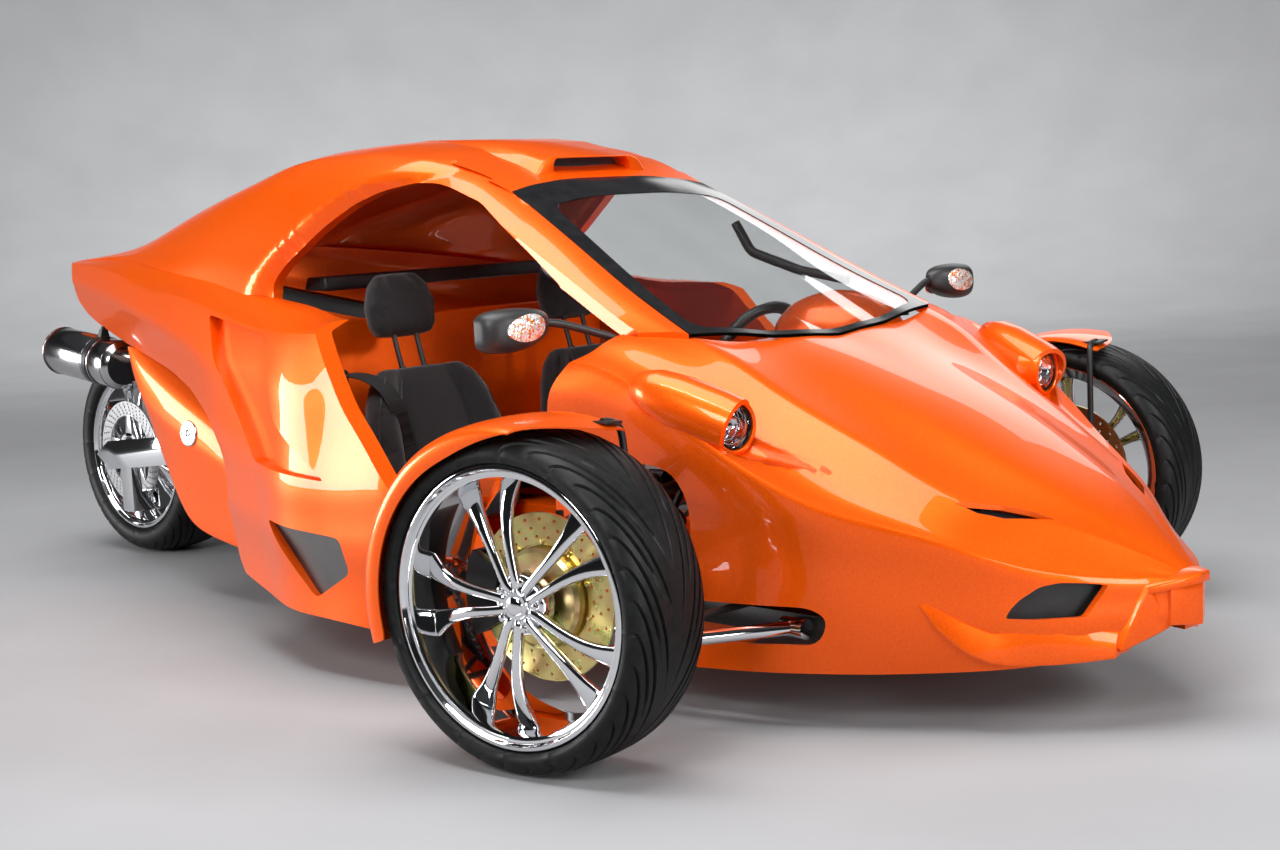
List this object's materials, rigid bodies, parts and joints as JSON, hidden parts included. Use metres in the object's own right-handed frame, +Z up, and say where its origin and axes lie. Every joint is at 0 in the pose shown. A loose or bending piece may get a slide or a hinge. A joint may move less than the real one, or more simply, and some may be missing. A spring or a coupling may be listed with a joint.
{
  "type": "three-wheeled open coupe",
  "caption": "Open-sided two-seat car with two steered front wheels under cycle fenders, one chromed rear wheel on a swing arm, and a raised-roof coupe body.",
  "frame": {"origin": "on the floor, under the middle of the overall length and width", "axes": "+X forward, +Y to the left, +Z up"},
  "size_m": [4.03, 2.239, 1.24],
  "materials": {
    "body_paint": "glossy metallic orange lacquer",
    "fin_paint": "glossy metallic orange lacquer",
    "glass": "clear",
    "lamp_glass": "clear moulded",
    "chrome": "mirror polished",
    "black_mesh": "woven wire look",
    "red_lens": "gloss",
    "brushed_alloy": "brushed",
    "seat_cloth": "woven mesh cloth",
    "belt_webbing": "woven webbing",
    "black_plastic": "fine grain",
    "signal_lens": "polished",
    "frame_paint": "satin black",
    "engine_alloy": "rough cast",
    "black_steel": "satin black",
    "damper_paint": "gloss black",
    "zinc_steel": "yellow zinc plated",
    "disc_steel": "ground",
    "cast_steel": "satin",
    "tyre_rubber": "matt with grooved tread",
    "muffler_steel": "polished and brushed",
    "pipe_steel": "heat tinted"
  },
  "bodies": {
    "chassis": {"front_body": "body_paint", "front_lip": "body_paint", "headlamp_bowls": "chrome", "headlamp_lenses": "lamp_glass", "windscreen": "glass", "roof_shell": "body_paint", "side_panel_right": "body_paint", "side_panel_left": "body_paint", "tail_fascia": "body_paint", "tail_lamps": "red_lens", "side_fins": "fin_paint", "fuel_cap": "brushed_alloy", "mesh_grilles": "black_mesh", "cockpit_tub": "body_paint", "dashboard": "body_paint", "seat_cushions": "seat_cloth", "seat_backs": "seat_cloth", "headrests": "seat_cloth", "seat_belts": "belt_webbing", "grab_handles": "black_plastic", "mirror_housings": "black_plastic", "mirror_glasses": "signal_lens", "frame": "frame_paint", "engine_block": "engine_alloy", "lower_arms": "chrome", "upper_arms": "black_steel", "dampers": "damper_paint", "steering_column": "black_steel", "swing_arm": "chrome", "mufflers": "muffler_steel", "exhaust_pipes": "pipe_steel"},
    "steering_wheel": {"steering_wheel": "black_plastic"},
    "steering_rack": {"tie_rods": "black_steel"},
    "knuckle_right": {"knuckle_right": "cast_steel", "caliper_right": "damper_paint", "fender_right": "body_paint"},
    "knuckle_left": {"knuckle_left": "cast_steel", "caliper_left": "damper_paint", "fender_left": "body_paint"},
    "wheel_front_right": {"front_rim_right": "chrome", "front_tyre_right": "tyre_rubber", "front_disc_right": "zinc_steel"},
    "wheel_front_left": {"front_rim_left": "chrome", "front_tyre_left": "tyre_rubber", "front_disc_left": "zinc_steel"},
    "wheel_rear": {"rear_rim": "chrome", "rear_tyre": "tyre_rubber", "rear_disc": "disc_steel"}
  },
  "joints": [
    {"name": "steer_right", "type": "hinge", "parent": "chassis", "child": "knuckle_right", "pos_m": [1.125, -0.88, 0.326], "axis": [0, 0, 1], "range_deg": [-32, 16]},
    {"name": "steer_left", "type": "hinge", "parent": "chassis", "child": "knuckle_left", "pos_m": [1.125, 0.88, 0.326], "axis": [0, 0, 1], "range_deg": [-32, 16]},
    {"name": "steering_wheel_turn", "type": "hinge", "parent": "chassis", "child": "steering_wheel", "pos_m": [0.60515, 0.3, 0.62992], "axis": [-0.9135, 0, 0.4067], "range_deg": [-384, 192]},
    {"name": "rack_slide", "type": "slide", "parent": "chassis", "child": "steering_rack", "axis": [0, 1, 0], "range_m": [-0.0675, 0.034]},
    {"name": "spin_front_right", "type": "hinge", "parent": "knuckle_right", "child": "wheel_front_right", "pos_m": [1.13544, -0.95427, 0.326], "axis": [-0.1392, 0.9903, 0], "continuous": true},
    {"name": "spin_front_left", "type": "hinge", "parent": "knuckle_left", "child": "wheel_front_left", "pos_m": [1.11456, 0.95427, 0.326], "axis": [-0.1392, 0.9903, 0], "continuous": true},
    {"name": "spin_rear", "type": "hinge", "parent": "chassis", "child": "wheel_rear", "pos_m": [-1.685, 0, 0.33], "axis": [0, 1, 0], "continuous": true}
  ],
  "couplings": [
    {"joint": "steer_left", "follows": "steer_right", "ratio": 1},
    {"joint": "steering_wheel_turn", "follows": "steer_right", "ratio": 12},
    {"joint": "rack_slide", "follows": "steer_right", "m_per_rad": 0.12}
  ]
}
